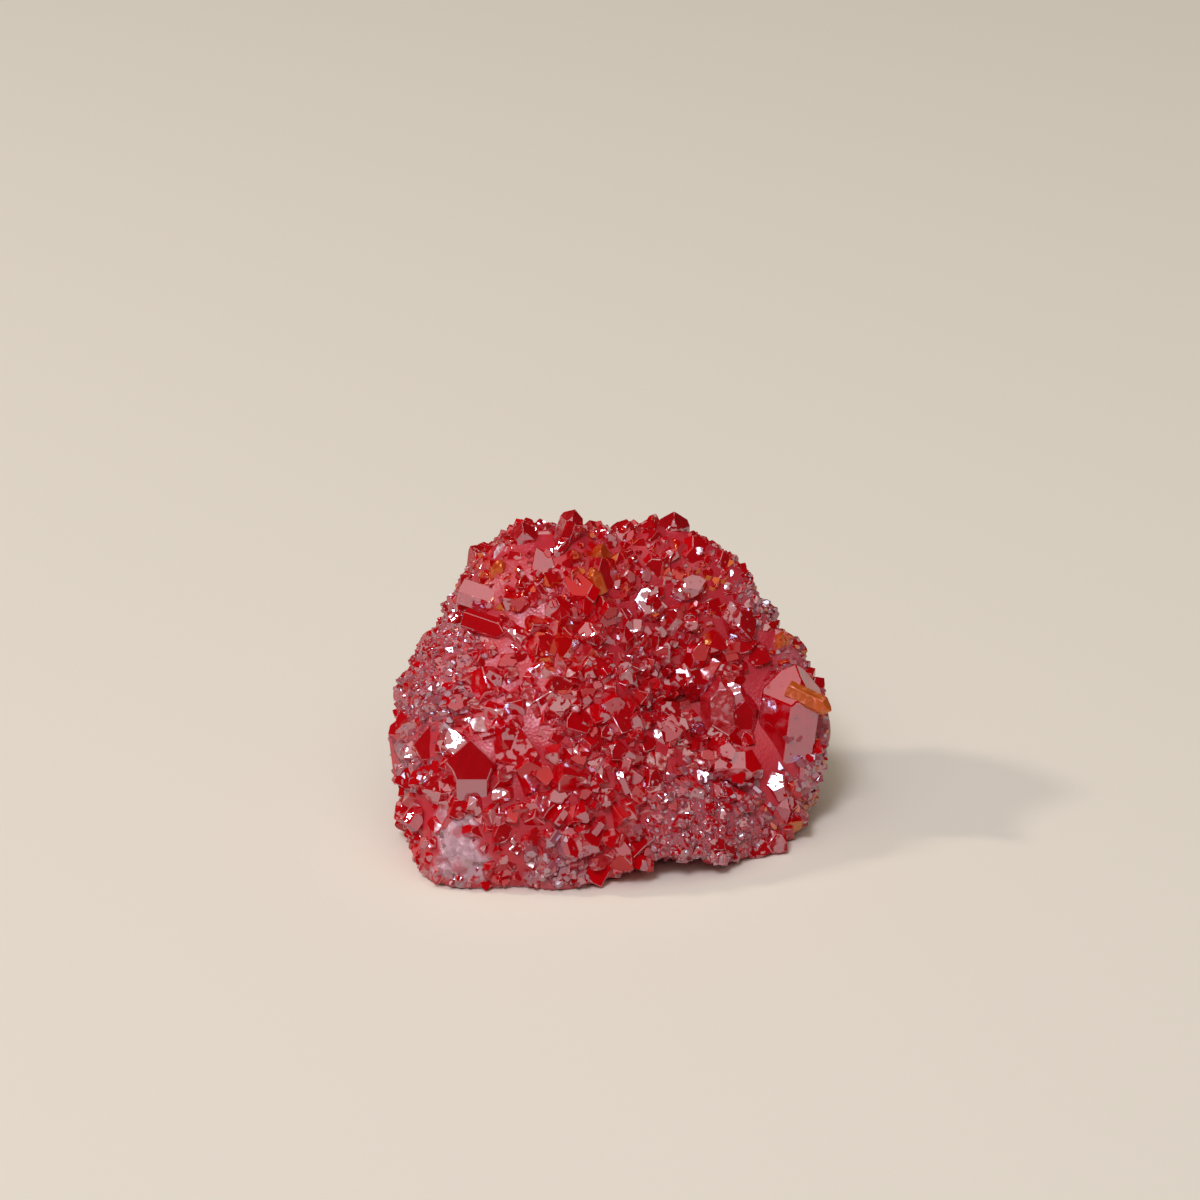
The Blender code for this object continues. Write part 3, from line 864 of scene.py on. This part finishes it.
def place_piece(name, mesh, material):
    """Link a piece that stands for the geode's solid and rides with it."""
    obj = add_object(name, mesh)
    mesh.materials.clear()
    mesh.materials.append(material)
    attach(obj, "root")
    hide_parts(NODE)


# ---- Materials ----

# The sockets of a Mix node that mixes two colours
SHARE, FIRST, SECOND, MIXED = 0, 6, 7, 2


def linear(hex_colour):
    """An sRGB hex colour as linear RGBA."""
    parts = [int(hex_colour[k:k + 2], 16) / 255 for k in (0, 2, 4)]
    return tuple(c / 12.92 if c <= 0.04045 else ((c + 0.055) / 1.055) ** 2.4 for c in parts) + (1.0,)


def add_node(tree, kind, inputs, **settings):
    """Add a shader node, set its properties, and fill its inputs with values or links."""
    node = tree.nodes.new("ShaderNode" + kind)
    for name, value in settings.items():
        setattr(node, name, value)
    for socket, value in inputs.items():
        if isinstance(value, bpy.types.NodeSocket):
            tree.links.new(value, node.inputs[socket])
        else:
            node.inputs[socket].default_value = value
    return node


def new_material(name):
    """An empty material and its tree of nodes."""
    material = bpy.data.materials.new(name)
    material.use_nodes = True
    material.node_tree.nodes.clear()
    return material, material.node_tree


def tilted_normal(tree, pattern, tilt):
    """The normal, tilted by a pattern's colours, so that a face doesn't mirror all of one thing."""
    normal = add_node(tree, "NewGeometry", {}).outputs["Normal"]
    aside = add_node(tree, "VectorMath", {0: pattern, 1: (0.5, 0.5, 0.5)}, operation="SUBTRACT")
    lean = add_node(tree, "VectorMath", {0: aside.outputs[0], "Scale": tilt}, operation="SCALE")
    tilted = add_node(tree, "VectorMath", {0: normal, 1: lean.outputs[0]}, operation="ADD")
    return add_node(tree, "VectorMath", {0: tilted.outputs[0]}, operation="NORMALIZE").outputs[0]


def film_coated_quartz(finish):
    """Quartz crystals with a metal oxide film fired on: glassy faces that mirror like tinted metal.

    The film is some tens of nanometres thick. Its silver turns lilac or gold where it thickens. The
    faces sway gently over the low steps that growth leaves, and the dullest of them are frosted.
    """
    material, tree = new_material("film_coated_quartz")
    place = add_node(tree, "NewGeometry", {}).outputs["Position"]
    facet, grain, film = (add_node(tree, "Attribute", {}, attribute_name=name).outputs["Fac"]
                          for name in ("facet", "grain", "film"))
    base = linear(finish.film_red)
    deep = tuple(part * DEEPER for part in base[:3]) + (1.0,)
    red = add_node(tree, "Mix", {SHARE: grain, FIRST: base, SECOND: deep}, data_type="RGBA")
    gilt = add_node(tree, "MapRange", {"Value": facet, "From Min": 1.0, "From Max": 2.0})
    tone = add_node(tree, "Mix", {
        SHARE: gilt.outputs[0], FIRST: red.outputs[MIXED], SECOND: linear(finish.film_gold),
    }, data_type="RGBA")
    frost = add_node(tree, "MapRange", {
        "Value": facet, "From Min": 0.72, "From Max": 1.0, "To Min": 0.035, "To Max": 0.30})
    cloud = add_node(tree, "TexNoise", {"Vector": place, "Scale": 1 / (GRIME_MM * MM), "Detail": 4.0})
    grime = add_node(tree, "MapRange", {
        "Value": cloud.outputs["Fac"], "From Min": 0.45, "From Max": 0.75, "To Min": 0.0, "To Max": 0.10})
    rough = add_node(tree, "Math", {0: frost.outputs[0], 1: grime.outputs[0]}, operation="ADD")
    waves = add_node(tree, "TexNoise", {
        "Vector": place, "Scale": 1 / (GROWTH_STEPS_MM * MM), "Detail": 1.0})
    tilt = add_node(tree, "MapRange", {
        "Value": facet, "From Min": 0.2, "From Max": 0.95, "To Min": 0.12, "To Max": 1.1})
    shader = add_node(tree, "BsdfPrincipled", {
        "Normal": tilted_normal(tree, waves.outputs["Color"], tilt.outputs[0]),
        "Base Color": tone.outputs[MIXED],
        "Roughness": rough.outputs[0],
        "IOR": QUARTZ_IOR,
        "Transmission Weight": 0.45,
        "Thin Film Thickness": film,
        "Thin Film IOR": FILM_IOR,
    })
    add_node(tree, "OutputMaterial", {"Surface": shader.outputs["BSDF"]})
    return material


def film_coated_druse(finish):
    """Fine druse under the same film: grains too small and uneven to mirror cleanly, so it glitters."""
    material, tree = new_material("film_coated_druse")
    facet, film = (add_node(tree, "Attribute", {}, attribute_name=name).outputs["Fac"]
                   for name in ("facet", "film"))
    rough = add_node(tree, "MapRange", {
        "Value": facet, "From Min": 0.3, "From Max": 1.0, "To Min": 0.06, "To Max": 0.4})
    shader = add_node(tree, "BsdfPrincipled", {
        "Base Color": linear(finish.druse_red),
        "Roughness": rough.outputs[0],
        "IOR": QUARTZ_IOR,
        "Transmission Weight": 0.2,
        "Thin Film Thickness": film,
        "Thin Film IOR": FILM_IOR,
    })
    add_node(tree, "OutputMaterial", {"Surface": shader.outputs["BSDF"]})
    return material


def milky_quartz(finish):
    """Milky quartz under the film, with a sugary frosted skin; broken places are paler and splintery."""
    material, tree = new_material("milky_quartz")
    place = add_node(tree, "NewGeometry", {}).outputs["Position"]
    bare, fine = (add_node(tree, "Attribute", {}, attribute_name=name).outputs["Fac"]
                  for name in ("bare", "fine"))
    cloud = add_node(tree, "TexNoise", {
        "Vector": place, "Scale": 1 / (STAIN_MM * MM), "Detail": 5.0}).outputs["Fac"]
    veins = add_node(tree, "MapRange", {"Value": cloud, "From Min": 0.48, "From Max": 0.56})
    pale = add_node(tree, "Mix", {
        SHARE: veins.outputs[0], FIRST: linear(finish.bare_quartz), SECOND: linear(finish.stained_quartz),
    }, data_type="RGBA")
    skin = add_node(tree, "Mix", {
        SHARE: fine, FIRST: linear(finish.milky_red), SECOND: linear(finish.druse_red),
    }, data_type="RGBA")
    tone = add_node(tree, "Mix", {
        SHARE: bare, FIRST: skin.outputs[MIXED], SECOND: pale.outputs[MIXED],
    }, data_type="RGBA")
    rough = add_node(tree, "MapRange", {
        "Value": cloud, "From Min": 0.3, "From Max": 0.7, "To Min": 0.25, "To Max": 0.5})
    drift = add_node(tree, "TexNoise", {
        "Vector": place, "Scale": 1 / (FILM_CLOUD_MM * MM), "Detail": 2.0})
    film = add_node(tree, "Math", {0: drift.outputs["Fac"], 1: 24.0, 2: 4.0},
                    operation="MULTIPLY_ADD")
    splinters = add_node(tree, "TexVoronoi", {"Vector": place, "Scale": 1 / (SPLINTERS_MM * MM)})
    tilt = add_node(tree, "Math", {0: bare, 1: 1.2}, operation="MULTIPLY")
    sugar = add_node(tree, "TexVoronoi", {"Vector": place, "Scale": 1 / (SUGAR_MM * MM)})
    bump = add_node(tree, "Bump", {
        "Height": sugar.outputs["Distance"], "Strength": 0.35, "Distance": SUGAR_DEPTH_MM * MM,
        "Normal": tilted_normal(tree, splinters.outputs["Color"], tilt.outputs[0])})
    shader = add_node(tree, "BsdfPrincipled", {
        "Base Color": tone.outputs[MIXED],
        "Roughness": rough.outputs[0],
        "IOR": QUARTZ_IOR,
        "Thin Film Thickness": film.outputs[0],
        "Thin Film IOR": WORN_FILM_IOR,
        "Normal": bump.outputs[0],
    })
    add_node(tree, "OutputMaterial", {"Surface": shader.outputs["BSDF"]})
    return material


def floor_paper(studio):
    """Matt off-white paper, which gives the crystals their pink mirrorings."""
    material, tree = new_material("matt_paper")
    shader = add_node(tree, "BsdfPrincipled", {
        "Base Color": linear(studio.floor_colour),
        "Roughness": 0.9,
        "Specular IOR Level": 0.1,
    })
    add_node(tree, "OutputMaterial", {"Surface": shader.outputs["BSDF"]})
    return material


# ---- Operators ----

class GEODE_OT_milky_quartz(bpy.types.Operator):
    """Make the mound of milky quartz that the crystals grow from"""
    bl_idname = "geode.milky_quartz"
    bl_label = "Milky quartz mound"

    def execute(self, context):
        bm = make_mound(MOUND_DETAIL)
        bare_layer = bm.verts.layers.float.new("bare")
        fine_layer = bm.verts.layers.float.new("fine")
        for vert in bm.verts:
            on_ground = vert.co.z < LIFT_MM * MM
            share = broken_share(vert.co)
            vert[bare_layer] = 1.0 if on_ground else share
            vert[fine_layer] = in_fine_patches(vert.co)
            chips = noise.cell(vert.co / (CHIP_MM * MM))
            chips += noise.fractal(vert.co / (SPLINTER_MM * MM), 1.0, 2.0, 3)
            if not on_ground:
                vert.co += (vert.co - HEART).normalized() * chips * share * CHIP_DEPTH_MM * MM
        for face in bm.faces:
            face.smooth = True
        mesh = mesh_from(bm, "milky_quartz")
        place_piece("milky_quartz", mesh, milky_quartz(context.scene.geode_finish))
        return {"FINISHED"}


class GEODE_OT_crystals(bpy.types.Operator):
    """Grow the large, middling, low and young crystals together into one solid"""
    bl_idname = "geode.crystals"
    bl_label = "Crystals"

    def execute(self, context):
        form = context.scene.geode_form
        rng = random.Random(SEED + 2)
        mound = bpy.data.objects["milky_quartz"].data
        guide = make_mound(GUIDE_DETAIL)
        grown = older_crystals(rng, BVHTree.FromBMesh(guide), form.edge_wear)
        guide.free()
        grown = with_bright_crystals(rng, mound, grown)
        for scatter, tries, half_width, wear in (
                (LOW, form.low_tries, form.low_half_width, form.edge_wear),
                (YOUNG_ONES, form.young_tries, form.young_half_width, 0.0)):
            trees, kinds = (tree_of(mound), tree_of(grown)), face_values(grown, "kind")
            matrices = scattered_matrices(rng, trees, kinds, scatter, tries, half_width)
            units = unit_crystals(rng, YOUNG, wear)
            solids = [(grown, IN_PLACE)]
            solids += [(rng.choice(units), matrix) for matrix in matrices]
            grown = grow_together("crystals", solids)
        grown = broken_flat("crystals", grown)
        lay_film(grown)
        place_piece("crystals", grown, film_coated_quartz(context.scene.geode_finish))
        return {"FINISHED"}


class GEODE_OT_druse(bpy.types.Operator):
    """Sprinkle the finest crystals into the gaps and over the fine-grained patches"""
    bl_idname = "geode.druse"
    bl_label = "Druse"

    def execute(self, context):
        form = context.scene.geode_form
        rng = random.Random(SEED + 3)
        crystals = bpy.data.objects["crystals"].data
        trees = (tree_of(bpy.data.objects["milky_quartz"].data), tree_of(crystals))
        matrices = scattered_matrices(rng, trees, face_values(crystals, "kind"), DRUSE_ONES,
                                      form.druse_tries, form.druse_half_width)
        units = unit_crystals(rng, DRUSE, 0.0)
        mesh = grow_together("druse", [(rng.choice(units), matrix) for matrix in matrices])
        mesh = broken_flat("druse", mesh)
        lay_film(mesh)
        place_piece("druse", mesh, film_coated_druse(context.scene.geode_finish))
        return {"FINISHED"}


def hang_light(name, power, from_where, away, size, colour):
    """Hang a round light that shines at the geode."""
    light = bpy.data.lights.new(name, "AREA")
    light.shape = "DISK"
    light.size = size
    light.energy = power
    light.color = linear(colour)[:3]
    obj = add_object(name, light)
    direction = from_where.normalized()
    obj.location = direction * away
    obj.rotation_euler = direction.to_track_quat("Z", "Y").to_euler()


class GEODE_OT_stage(bpy.types.Operator):
    """Set the paper floor, the lights and the camera"""
    bl_idname = "geode.stage"
    bl_label = "Stage"

    def execute(self, context):
        studio = context.scene.geode_studio
        bm = bmesh.new()
        bmesh.ops.create_grid(bm, x_segments=1, y_segments=1, size=FLOOR_SIZE / 2)
        floor = add_object("floor", mesh_from(bm, "floor"))
        floor.location.z = -FLOOR_DROP
        floor.data.materials.append(floor_paper(studio))

        camera = bpy.data.cameras.new("camera")
        camera.lens = studio.lens
        camera.sensor_width = SENSOR_MM
        camera.clip_start = CLIP_START
        eye = add_object("camera", camera)
        eye.location = Vector(studio.camera_aim) + VIEW_OUT * studio.camera_distance
        eye.rotation_euler = VIEW_OUT.to_track_quat("Z", "Y").to_euler()
        context.scene.camera = eye

        hang_light("key", studio.key_power, *KEY_LIGHT)
        hang_light("window", studio.window_power, *WINDOW_LIGHT)
        hang_light("fill", studio.fill_power, *FILL_LIGHT)
        world = bpy.data.worlds.new("dim_room")
        world.use_nodes = True
        background = world.node_tree.nodes["Background"]
        background.inputs["Color"].default_value = linear(ROOM_COLOUR)
        background.inputs["Strength"].default_value = ROOM_STRENGTH
        context.scene.world = world
        context.scene.view_settings.view_transform = "Standard"
        return {"FINISHED"}


class GEODE_PT_panel(bpy.types.Panel):
    """The geode's sizes, colours and studio, and the steps that build it"""
    bl_label = "Geode"
    bl_idname = "GEODE_PT_panel"
    bl_space_type = "VIEW_3D"
    bl_region_type = "UI"
    bl_category = "Geode"

    def draw(self, context):
        layout = self.layout
        for group in (context.scene.geode_form, context.scene.geode_finish, context.scene.geode_studio):
            box = layout.box()
            for name in group.bl_rna.properties.keys():
                if name not in ("rna_type", "name"):
                    box.prop(group, name)
        for operator in OPERATORS:
            layout.operator(operator.bl_idname)


OPERATORS = (GEODE_OT_milky_quartz, GEODE_OT_crystals, GEODE_OT_druse, GEODE_OT_stage)
CLASSES = (GeodeForm, GeodeFinish, GeodeStudio) + OPERATORS + (GEODE_PT_panel,)


def register():
    for cls in CLASSES:
        bpy.utils.register_class(cls)
    bpy.types.Scene.geode_form = PointerProperty(type=GeodeForm)
    bpy.types.Scene.geode_finish = PointerProperty(type=GeodeFinish)
    bpy.types.Scene.geode_studio = PointerProperty(type=GeodeStudio)


def unregister():
    del bpy.types.Scene.geode_studio
    del bpy.types.Scene.geode_finish
    del bpy.types.Scene.geode_form
    for cls in reversed(CLASSES):
        bpy.utils.unregister_class(cls)


def main():
    """Build the geode and its studio."""
    register()
    bpy.ops.geode.milky_quartz()
    bpy.ops.geode.crystals()
    bpy.ops.geode.druse()
    bpy.ops.geode.stage()


if __name__ == "__main__":
    main()
